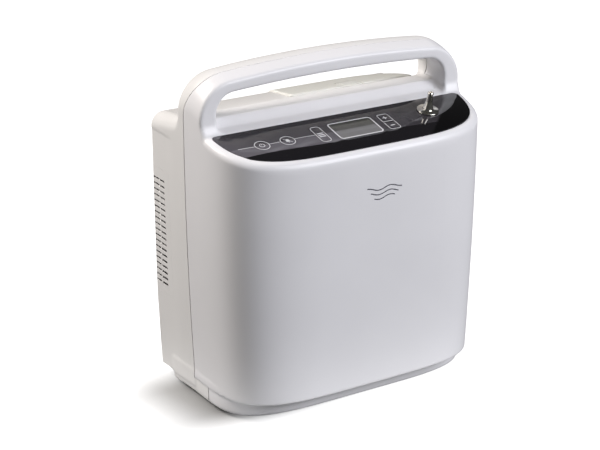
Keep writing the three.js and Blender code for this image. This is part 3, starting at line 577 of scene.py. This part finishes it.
KEYS = {
    "key_power": ("power_key", lambda g: circle(ROUND_KEY + g, POWER_X, -PANEL_ROW)),
    "key_alarm": ("alarm_key", lambda g: circle(ROUND_KEY + g, ALARM_X, -PANEL_ROW)),
    "key_mode": ("mode_key", lambda g: rounded(
        TALL_KEY[0] + 2 * g, TALL_KEY[1] + 2 * g, TALL_CORNER + g, MODE_X, -PANEL_ROW)),
    "key_plus": ("plus_key", lambda g: rounded(
        LEVEL_KEY[0] + 2 * g, LEVEL_KEY[1] + 2 * g, LEVEL_CORNER + g,
        LEVEL_X, LEVEL_STEP - PANEL_ROW)),
    "key_minus": ("minus_key", lambda g: rounded(
        LEVEL_KEY[0] + 2 * g, LEVEL_KEY[1] + 2 * g, LEVEL_CORNER + g,
        LEVEL_X, -LEVEL_STEP - PANEL_ROW)),
}


def lcd_outline(g):
    return rounded(LCD[0] + 2 * g, LCD[1] + 2 * g, LCD_CORNER + g, LCD_X, -PANEL_ROW)


def panel_cut(outline, lo=-25.0, hi=9.0):
    return on_panel(prism("cut", outline, lo, hi))


def make_front_details(front):
    cut(front, on_panel(prism("seat", overlay_outline(KEY_GAP), OVERLAY_TOP - OVERLAY_T, 9.0)))
    cut(front, *[panel_cut(outline(KEY_GAP)) for _, outline in KEYS.values()])
    cut(front, panel_cut(lcd_outline(-2.0)), panel_cut(circle(4.4, OUTLET_X, -OUTLET_ROW)))


SCREWS = [(x, y) for x in (-99.0, 99.0) for y in (-29.0, 8.0)]
VENTS, VENT_X, VENT_Z, VENT_PITCH, VENT_H = 6, (24.0, 84.0), 24.0, 5.0, 2.4
INLET_X, INLET_Z = (-67.0, -53.0), (42.5, 51.5)
CREASE_X = 114.6                # joint between the rear deck and its sloping shoulder


def door_slots():
    """Slots across the side, ending short of the back corner."""
    slots = []
    for i in range(LOUVRES):
        z = LOUVRE_FOOT + i * LOUVRE_PITCH
        side = rounded(20.4, LOUVRE_H, LOUVRE_H / 2 - 0.02, 63.4, z + LOUVRE_H / 2, 6)
        slots.append(prism("slat", side, -135, -112, lambda u, v, w: (w, u, v)))
    return slots


def make_rear_details(rear):
    cut(rear, bay("bay_cut", 0.3), door_region("door_cut", 0.12))
    for i in range(VENTS):
        z = VENT_Z + i * VENT_PITCH
        cut(rear, slot("vent", VENT_X, (66, 84), (z, z + VENT_H)))
    cut(rear, slot("inlet", INLET_X, (58, 84), INLET_Z))
    for side in (-1, 1):
        x = side * CREASE_X
        cut(rear, block("crease", (x - 0.25, x + 0.25), (HANDLE_BACK + 6.5, 84), (DECK_Z - 6, 250)))
    cut(rear, block("joint", (-131, -124.6), (69.6, 70.1), (22, 52)))


def screw_holes():
    return [turned("hole", [(0, -1), (1.9, -1), (1.9, 13), (0, 13)], x, y, 24) for x, y in SCREWS]


def make_case():
    """Both shells and the door, with their openings cut."""
    front, rear, skin = make_shells()
    make_front_details(front)
    make_rear_details(rear)
    cut(front, *screw_holes())
    cut(rear, *screw_holes())
    door = make_door(skin)
    piece(front, "case", WHITE_FRONT, "white_front", "front_shell")
    piece(rear, "case", WHITE_REAR, "white_rear", "rear_shell")
    piece(door, "intake_door", WHITE_REAR, "white_rear", "filter_door")


def make_door(skin):
    """Louvred corner cover with two hook ribs behind it."""
    door = keep(skin, door_region("door", 0.0))
    low, high = LOUVRE_FOOT - 1.5, LOUVRE_FOOT + LOUVRES * LOUVRE_PITCH - 1.4
    thin = rounded(40, 44, 4.5, -105.0, 52.4)
    cut(door, prism("thin", thin, low, high), *door_slots())
    weld(door, block("rib", (-125.7, -122.0), (62.6, 64.6), (low - 0.5, high + 0.5)))
    for z in (DOOR_Z[0] + 3.0, DOOR_Z[1] - 4.6):
        weld(door, block("rib", (-124.2, -120.8), (47, 73), (z, z + 1.6)))
    return door


# ------------------------------------------------------------------------------ overlay and keys
KEY_RISE = 0.1                  # keys stand this much above the overlay
PRINT_Z = (OVERLAY_TOP + 0.005, OVERLAY_TOP + 0.05)
KEY_PRINT_Z = (OVERLAY_TOP + KEY_RISE - 0.005, OVERLAY_TOP + 0.15)
FILM_LINE, PAINTED_DARK_FRONT, PAINTED_DARK_END = 0.0246, 0.0376, 0.1128    # metres: key line, start of the painted dark reflection in front, start of the painted dark reflection at the right end


def film(name, left, right, band, low, end, rough):
    """Gloss film printed from behind, with reflections painted into its colour: a lighter band under
    the key line on the left is a painted reflection of the handle, and the dark front and dark right
    end are painted dark reflections; `left` fades to `right` above the line."""
    material, tree, shader = new_material(name)
    place = add(tree, "ShaderNodeTexCoord")
    axes = add(tree, "ShaderNodeSeparateXYZ")
    tree.links.new(place.outputs["Object"], axes.inputs[0])

    def link(node, values):
        for socket, value in values:
            if isinstance(value, bpy.types.NodeSocket):
                tree.links.new(value, socket)
            else:
                socket.default_value = value
        return node

    def math_node(kind, a, b=0.0):
        node = add(tree, "ShaderNodeMath", operation=kind)
        return link(node, zip(node.inputs, (a, b))).outputs[0]

    def step(value, centre, width):
        node = add(tree, "ShaderNodeMapRange")
        edges = {"Value": value, "From Min": centre - width / 2, "From Max": centre + width / 2}
        return link(node, [(node.inputs[k], v) for k, v in edges.items()]).outputs["Result"]

    def mix(factor, a, b):
        node = add(tree, "ShaderNodeMix", data_type="RGBA")
        a, b = [(*c, 1) if isinstance(c, tuple) else c for c in (a, b)]
        return link(node, [(node.inputs["Factor"], factor), (node.inputs[6], a),
                           (node.inputs[7], b)]).outputs[2]

    x = axes.outputs["X"]
    row = math_node("MULTIPLY", math_node("SUBTRACT", OVERLAY_BACK * MM, axes.outputs["Y"]),
                    1 / math.cos(PANEL_TILT))
    sway = math_node("MULTIPLY", math_node("SINE", math_node("MULTIPLY", x, 55.0)), 0.0013)
    above = mix(step(x, 0.0, 0.24), left, right)
    # The band under the key line is a painted reflection of the handle; `low` is a painted dark
    # reflection in front, along a gentle wave, and `end` is a painted dark reflection at the right
    # end.
    if band == low:
        film_with_painted_reflections = mix(step(row, FILM_LINE, 0.0016), above, band)
    else:
        painted_band_below_line = mix(step(x, -0.012, 0.03), band, above)
        film_with_painted_reflections = mix(step(row, FILM_LINE, 0.0005), above, painted_band_below_line)
    film_with_painted_reflections = mix(step(math_node("ADD", row, sway), PAINTED_DARK_FRONT, 0.0006), film_with_painted_reflections, low)
    reach = math_node("ADD", x, row)
    colour = mix(step(reach, PAINTED_DARK_END, 0.003), film_with_painted_reflections, end)
    tree.links.new(colour, shader.inputs["Base Color"])
    tree.links.new(between(tree, noise(tree, 700.0, 4.0), *rough), shader.inputs["Roughness"])
    bump = add(tree, "ShaderNodeBump", Strength=0.1, Distance=0.01 * MM)
    tree.links.new(noise(tree, 90.0, 2.0), bump.inputs["Height"])
    tree.links.new(bump.outputs["Normal"], shader.inputs["Normal"])
    shader.inputs["IOR"].default_value = 1.5
    return material


# Overlay film: its lighter band under the key line, its darker front and its darker right end are
# painted reflections, not print.
OVERLAY_PAINTED_REFLECTIONS = film("gloss_overlay_painted_reflections", (0.057, 0.054, 0.062), (0.030, 0.027, 0.031), (0.108, 0.102, 0.116),
               (0.0085, 0.0078, 0.0095), (0.0016, 0.0014, 0.0018), (0.02, 0.05))
# Display window: the lighter half under the key line is the same painted reflection of the handle as
# on the overlay.
LCD_PAINTED_REFLECTION = film("display_grey", (0.072, 0.070, 0.072), (0.078, 0.080, 0.066), (0.185, 0.183, 0.185),
                (0.185, 0.183, 0.185), (0.185, 0.183, 0.185), (0.03, 0.07))


def printed(name, outlines, body, heights):
    """Thin printed marks on the panel, each a closed outline, joined into one piece."""
    parts = [prism(name, outline, *heights) for outline in outlines]
    bm = bmesh.new()
    for part in parts:
        bm.from_mesh(part.data)
    drop(*parts[1:])
    bm.to_mesh(parts[0].data)
    bm.free()
    obj = on_panel(parts[0])
    obj.name = name
    return piece(obj, body, PRINT, "display_grey")


def stroke(points, width):
    """Outline of a line of constant width through the points."""
    ahead, behind = [], []
    for i, p in enumerate(points):
        a, b = Vector(points[max(i - 1, 0)]), Vector(points[min(i + 1, len(points) - 1)])
        side = (b - a).normalized()
        side = Vector((-side.y, side.x)) * width / 2
        ahead.append((p[0] + side.x, p[1] + side.y))
        behind.append((p[0] - side.x, p[1] - side.y))
    return ahead + behind[::-1]


LINE = 0.6                      # width of the key borders


def key_rings():
    """Printed border of each key; the level pair shares one border with a bar between."""
    rings = {name: loop_strips(outline(-0.05), outline(-0.05 - LINE))
             for name, (_, outline) in KEYS.items()}
    w, h = LEVEL_KEY
    r = LEVEL_CORNER
    for name, up in (("key_plus", 1), ("key_minus", -1)):
        row = up * LEVEL_STEP - PANEL_ROW
        run = [(LEVEL_X - w / 2 + LINE / 2, row - up * h / 2)]
        run += [(LEVEL_X + sx * (w / 2 - r) + (r - LINE / 2) * math.cos(a) * sx,
                 row + up * (h / 2 - r) + up * (r - LINE / 2) * math.sin(a))
                for sx, turn in ((-1, range(0, 7)), (1, range(6, -1, -1)))
                for a in [math.pi / 2 * i / 6 for i in turn]]
        run += [(LEVEL_X + w / 2 - LINE / 2, row - up * h / 2)]
        rings[name] = [stroke(run, LINE)]
    foot = LEVEL_STEP - PANEL_ROW - h / 2 + LINE / 2
    rings["key_plus"].append(stroke([(LEVEL_X - w / 2, foot), (LEVEL_X + w / 2, foot)], LINE))
    return rings


def loop_strips(outer, inner):
    """Quads between two outlines with the same number of points."""
    n = len(outer)
    return [[outer[i], outer[(i + 1) % n], inner[(i + 1) % n], inner[i]] for i in range(n)]


def key_icons():
    """Power sign, crossed bell, menu bars, plus and minus."""
    def at(cx, cy, points):
        return [(cx + x, cy + y) for x, y in points]

    power = [stroke(at(POWER_X, -PANEL_ROW, arc(0, 0, 2.2, 120, 420, 20)), 0.55),
             stroke(at(POWER_X, -PANEL_ROW, [(0, 0.6), (0, 3.0)]), 0.55)]
    dome = [(-2.3, -1.6), (-1.7, -0.9)] + arc(0, 0.6, 1.6, 180, 0, 8) + [(1.7, -0.9), (2.3, -1.6)]
    alarm = [at(ALARM_X, -PANEL_ROW, dome), at(ALARM_X, -PANEL_ROW, circle(0.55, 0, -2.35, 12)),
             stroke(at(ALARM_X, -PANEL_ROW, [(-3.0, 2.9), (3.2, -2.9)]), 0.5)]
    menu = [stroke(at(MODE_X, -PANEL_ROW + y, [(-2.9, -1.4), (2.9, -1.4)]), 1.15)
            for y in (-2, 0.4, 2.8)]
    plus = [stroke(at(LEVEL_X, LEVEL_STEP - PANEL_ROW, [(-2.1, 0), (2.1, 0)]), 0.9),
            stroke(at(LEVEL_X, LEVEL_STEP - PANEL_ROW, [(0, 2.1), (0, -2.1)]), 0.9)]
    minus = [stroke(at(LEVEL_X, -LEVEL_STEP - PANEL_ROW, [(-2.1, 0), (2.1, 0)]), 0.9)]
    return {"key_power": power, "key_alarm": alarm, "key_mode": menu, "key_plus": plus,
            "key_minus": minus}


def make_keys():
    """Key caps with their stems, and the marks printed on them."""
    rings, icons = key_rings(), key_icons()
    for name, (body, outline) in KEYS.items():
        cap = prism(name + "_cap", outline(0), OVERLAY_TOP - 2.4, OVERLAY_TOP + KEY_RISE)
        bevel(cap, 0.12, 2, 60)
        centre = np.mean(outline(0), axis=0)
        stem = turned("stem", [(0, -6.2), (1.6, -6.2), (1.6, -2.0), (0, -2.0)], *centre, 24)
        weld(cap, stem)
        # The caps take the overlay's colour, painted reflections included.
        piece(on_panel(cap), body, OVERLAY_PAINTED_REFLECTIONS, "gloss_black", name)
        printed(name + "_print", rings[name] + icons[name], body, KEY_PRINT_Z)


def make_overlay():
    """Overlay film with its openings, display window, display frame and key line."""
    sheet = prism("overlay_film", overlay_outline(0), OVERLAY_TOP - OVERLAY_T + 0.02, OVERLAY_TOP)
    bevel(sheet, 0.15, 2, 60)
    for _, outline in KEYS.values():
        cut(sheet, prism("cut", outline(0.22), -25, 9))
    cut(sheet, prism("cut", lcd_outline(0.15), -25, 9))
    cut(sheet, prism("cut", circle(4.4, OUTLET_X, -OUTLET_ROW), -25, 9))
    piece(on_panel(sheet), "case", OVERLAY_PAINTED_REFLECTIONS, "gloss_black", "panel_overlay")
    window = prism("display_glass", lcd_outline(0), OVERLAY_TOP - OVERLAY_T + 0.02, OVERLAY_TOP)
    bevel(window, 0.15, 2, 60)
    piece(on_panel(window), "case", LCD_PAINTED_REFLECTION, "display_grey", "display_window")
    frame_marks = loop_strips(lcd_outline(-0.1), lcd_outline(-1.25))
    printed("display_border", frame_marks, "case", PRINT_Z)
    wave = []
    for a, b in ((-108.5, POWER_X - ROUND_KEY), (POWER_X + ROUND_KEY, ALARM_X - ROUND_KEY),
                 (ALARM_X + ROUND_KEY, MODE_X - TALL_KEY[0] / 2)):
        run = [a + (b - a) * i / 12 for i in range(13)]
        wave.append(stroke([(x, -24.3 + 0.35 * math.sin(x * 0.09)) for x in run], 0.45))
    printed("overlay_line", wave, "case", PRINT_Z)


# --------------------------------------------------------------------- outlet, battery and the rest
def make_outlet():
    """Turned outlet with a flange, a tapering stem and a barbed end, and the nut under the panel."""
    profile = [(0, -10), (3.9, -10), (3.9, 0.24), (9.0, 0.24), (9.4, 0.5), (9.5, 0.9), (9.3, 1.25),
               (8.9, 1.4), (5.3, 1.7), (4.7, 2.0), (4.35, 2.6), (3.55, 6.4), (3.2, 7.4), (2.85, 8.4),
               (2.7, 9.6), (2.2, 15.2), (2.2, 15.6), (2.5, 15.8), (2.6, 16.2), (2.15, 17.4),
               (1.6, 17.6), (1.35, 17.3), (1.35, 6.0), (0, 6.0)]
    barb = turned("outlet_barb", profile, OUTLET_X, -OUTLET_ROW, 72)
    piece(on_panel(barb), "case", NICKEL, "nickel", "oxygen_outlet", sharp=50)
    nut = prism("outlet_hex_nut", circle(8.0, OUTLET_X, -OUTLET_ROW, 6), -8.2, -4.4)
    bevel(nut, 0.5, 2, 25)
    cut(nut, turned("cut", [(0, -12), (4.2, -12), (4.2, 2), (0, 2)], OUTLET_X, -OUTLET_ROW, 48))
    piece(on_panel(nut), "case", STEEL, "steel", "outlet_nut")


def make_battery():
    """Battery case with a grip behind, its lid and the sliding latch."""
    x, y, z = BAY["x"], BAY["y"], BAY["z"]
    case = block("battery_shell", x, y, (z[0], LID_Z), 1.2)
    weld(case, block("back", BAY_FACE, (y[1] - 3, BACK), (z[0], LID_Z), 1.0))
    room = block("room", (x[0] + 2.2, x[1] - 2.2), (y[0] + 2.2, y[1] - 2.2), (z[0] + 20, LID_Z + 5))
    pocket = block("pocket", (26, 72), (y[0] - 1, y[0] + 3), (z[0] + 6, z[0] + 18))
    cut(case, room, pocket)
    for i in range(7):
        across = BAY_FACE[0] + 38 + i * 6.6
        cut(case, slot("grip", (across, across + 2.4), (BACK - 0.9, 84), (z[0] + 96, z[0] + 126)))
    piece(case, "battery", WHITE_REAR, "white_rear", "battery_case")
    lid = level_set("battery_lid", lid_solid, (x[0] - 3, y[0] - 3, LID_Z - 3),
                    (x[1] + 3, BACK + 3, z[1] + 3), 0.8)
    cut(lid, block("latch", (38, 60), (y[0] - 1, y[0] + 14), (LID_Z - 1, 262)))
    piece(lid, "battery", CREAM, "white_rear", "battery_cover")
    top = LID_TOP - 0.6
    latch = block("latch_slider", (38.3, 59.7), (y[0] + 0.5, y[0] + 11.2), (top - 3.4, top), 0.5)
    for i in range(4):
        rib = y[0] + 2.4 + i * 2
        weld(latch, block("rib", (41, 57), (rib, rib + 0.8), (top - 0.6, top + 0.3)))
    weld(latch, block("tooth", (42, 56), (y[0] + 0.5, y[0] + 3), (z[1] - 8.6, top - 1)))
    piece(latch, "latch", CREAM, "white_rear", "battery_latch")


def make_feet():
    """Four rubber feet and four cross-head screws under the case."""
    for i, (x, y) in enumerate([(-80, -41), (80, -41), (-86, 42), (86, 42)], 1):
        foot = turned(f"rubber_foot_{i}", [(0, 0), (6.6, 0), (7.6, 0.25), (8.4, 0.8), (8.9, 1.7),
                                           (9.0, BASE_Z), (0, BASE_Z)], x, y, 48)
        piece(foot, "case", RUBBER, "rubber", f"foot_{i}")
    for i, (x, y) in enumerate(SCREWS, 1):
        head = turned(f"screw_{i}", [(0, 1.2), (2.2, 1.1), (2.9, 1.45), (3.1, 2.2), (3.1, 2.95),
                                     (1.5, 2.95), (1.5, 12.4), (0, 13)], x, y, 32)
        for long_way in ((1.7, 0.35), (0.35, 1.7)):
            cut(head, block("cross", (x - long_way[0], x + long_way[0]),
                            (y - long_way[1], y + long_way[1]), (0, 1.9), 0))
        piece(head, "case", STEEL, "steel", f"case_screw_{i}")


def make_inlet():
    """Power inlet in the back wall with two pins."""
    inlet = block("inlet_socket", (-66.7, -53.3), (61, 75.6), (42.8, 51.2), 0.6)
    weld(inlet, block("flange", (-69, -51), (61, 69), (40, 54), 0.8))
    cut(inlet, slot("mouth", (-64.7, -55.3), (63.8, 84), (44.6, 49.4)))
    piece(inlet, "case", BLACK_ABS, "black_abs", "power_inlet")
    for i, x in enumerate((-62.2, -57.8), 1):
        pin = turned(f"inlet_pin_{i}", [(0, 0), (0.95, 0), (0.95, 8.4), (0.6, 9), (0, 9)], 0, 0, 20)
        pin.data.transform(Matrix.Translation((x, 63.5, 47.0)) @ Matrix.Rotation(-math.pi / 2, 4, "X"))
        piece(pin, "case", COPPER, "copper")


def make_mark():
    """Three plain breath lines on the front."""
    lines = []
    for i in range(3):
        half = 17.0 - 3.5 * i
        run = [-half + 2 * half * k / 28 for k in range(29)]
        lines.append([(8.0 + u, 193.0 - 4.0 * i + 1.3 * math.sin(u * 0.28)) for u in run])
    marks = []
    for line in lines:
        edge = stroke(line, 0.9)
        marks.append(prism("mark", edge, FRONT - 0.05, FRONT + 0.6, lambda u, v, w: (u, w, v)))
    mark = weld(marks[0], *marks[1:])
    mark.name = "breath_mark"
    piece(mark, "case", MARK, "display_grey")


make_case()
make_overlay()
make_keys()
make_outlet()
make_battery()
make_feet()
make_inlet()
make_mark()

for name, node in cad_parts.items():
    if not node.hide_render:
        slot_name = node.data.materials[0].name if node.data.materials else "black_abs"
        material = SLOT_MATERIALS.get(slot_name.split(".")[0], BLACK_ABS)
        node.data.materials.clear()
        node.data.materials.append(material)


# ------------------------------------------------------------------------ camera, floor and light
def make_camera():
    """Looks down about 21 degrees from 31 degrees to the left of the front."""
    data = bpy.data.cameras.new("camera")
    data.sensor_width = 36.0
    data.lens = 102.63
    data.shift_x, data.shift_y = 0.0059, -0.0007
    data.clip_end = 40.0
    camera = bpy.data.objects.new("camera", data)
    camera.location = (-0.73506, -1.15361, 0.66371)
    camera.rotation_euler = (math.pi / 2 - 0.36751, 0.0, -0.54894)
    bpy.context.scene.collection.objects.link(camera)
    bpy.context.scene.camera = camera


def softbox(name, azimuth, height, away, size, power, colour=(1, 1, 1)):
    """Area light at an azimuth, counted from +X towards +Y, aimed at the middle of the case."""
    a = math.radians(azimuth)
    place = Vector((away * math.cos(a), away * math.sin(a), height))
    data = bpy.data.lights.new(name, "AREA")
    data.shape = "RECTANGLE"
    data.size, data.size_y = size
    data.energy = power
    data.color = colour
    light = bpy.data.objects.new(name, data)
    light.location = place
    light.rotation_euler = (Vector((0, 0, 0.14)) - place).to_track_quat("-Z", "Y").to_euler()
    bpy.context.scene.collection.objects.link(light)


SHADE_REACH = 0.085             # metres over which the shade beside the base fades


def make_floor():
    """Pale floor that glows, so it reads as a white sweep; the glow dies away beside the left of the
    base, where the shade of the object lies. It throws no light of its own on the object."""
    half = 14.0
    corners = [(-half, -half, 0), (half, -half, 0), (half, half, 0), (-half, half, 0)]
    floor = mesh_object("floor", corners, [(0, 1, 2, 3)])
    material = surface("floor", grey(0.34), grey(0.36), (0.7, 0.8))
    tree = material.node_tree
    shader = next(n for n in tree.nodes if n.type == "BSDF_PRINCIPLED")
    place = add(tree, "ShaderNodeTexCoord")
    axes = add(tree, "ShaderNodeSeparateXYZ")
    tree.links.new(place.outputs["Object"], axes.inputs[0])
    reach = add(tree, "ShaderNodeCombineXYZ")
    left = beyond(tree, axes.outputs["X"], -0.119, -1.0)
    right = beyond(tree, axes.outputs["X"], -0.09, 0.5)
    front = beyond(tree, axes.outputs["Y"], -0.02, -1.5)
    back = beyond(tree, axes.outputs["Y"], 0.03, 1.5)
    for socket, pair in zip(reach.inputs, ((left, right), (front, back))):
        both = add(tree, "ShaderNodeMath", operation="ADD")
        tree.links.new(pair[0], both.inputs[0])
        tree.links.new(pair[1], both.inputs[1])
        tree.links.new(both.outputs[0], socket)
    away = add(tree, "ShaderNodeVectorMath", operation="LENGTH")
    tree.links.new(reach.outputs[0], away.inputs[0])
    glow = add(tree, "ShaderNodeMapRange", interpolation_type="SMOOTHSTEP")
    glow.inputs["From Max"].default_value = SHADE_REACH
    tree.links.new(away.outputs["Value"], glow.inputs["Value"])
    tree.links.new(glow.outputs["Result"], shader.inputs["Emission Strength"])
    shader.inputs["Emission Color"].default_value = (1, 1, 1, 1)
    floor.data.materials.append(material)
    floor.visible_diffuse = False
    floor.visible_glossy = False


def beyond(tree, value, limit, scale):
    """How far a coordinate is past a limit, times a scale whose sign says which way is past."""
    past = add(tree, "ShaderNodeMath", operation="SUBTRACT")
    past.inputs[1].default_value = limit
    tree.links.new(value, past.inputs[0])
    grown = add(tree, "ShaderNodeMath", operation="MULTIPLY")
    grown.inputs[1].default_value = scale
    tree.links.new(past.outputs[0], grown.inputs[0])
    kept = add(tree, "ShaderNodeMath", operation="MAXIMUM")
    kept.inputs[1].default_value = 0.0
    tree.links.new(grown.outputs[0], kept.inputs[0])
    return kept.outputs[0]


def bounce_card(name, x, y, turn, size, power):
    """Thin light lying on the floor beside the base, facing up, as the table throws light back."""
    data = bpy.data.lights.new(name, "AREA")
    data.shape = "RECTANGLE"
    data.size, data.size_y = size
    data.energy = power
    light = bpy.data.objects.new(name, data)
    light.location = (x, y, 0.001)
    light.rotation_euler = (math.pi, 0, turn)
    light.visible_camera = False
    light.visible_glossy = False
    bpy.context.scene.collection.objects.link(light)


def make_world(strength):
    """Even white surroundings."""
    world = bpy.data.worlds.new("world")
    bpy.context.scene.world = world
    world.use_nodes = True
    background = world.node_tree.nodes["Background"]
    background.inputs["Color"].default_value = (1, 1, 1, 1)
    background.inputs["Strength"].default_value = strength


make_camera()
make_floor()
make_world(0.06)
softbox("rear_left", 142, 1.3, 1.2, (0.8, 0.8), 29, (1.0, 0.95, 0.905))
softbox("side_left", 166, 0.5, 1.6, (1.0, 1.0), 5, (1.0, 0.97, 0.94))
softbox("front_right", 300, 1.2, 1.9, (1.2, 1.0), 49, (0.95, 0.955, 1.0))
bounce_card("bounce_left", -0.148, 0.0, 0, (0.035, 0.16), 0.013)
bounce_card("bounce_corner", -0.128, -0.07, 0.75, (0.05, 0.035), 0.0045)
bounce_card("bounce_front", 0.0, -0.105, 0, (0.24, 0.04), 0.03)
bpy.context.scene.view_settings.view_transform = "Standard"
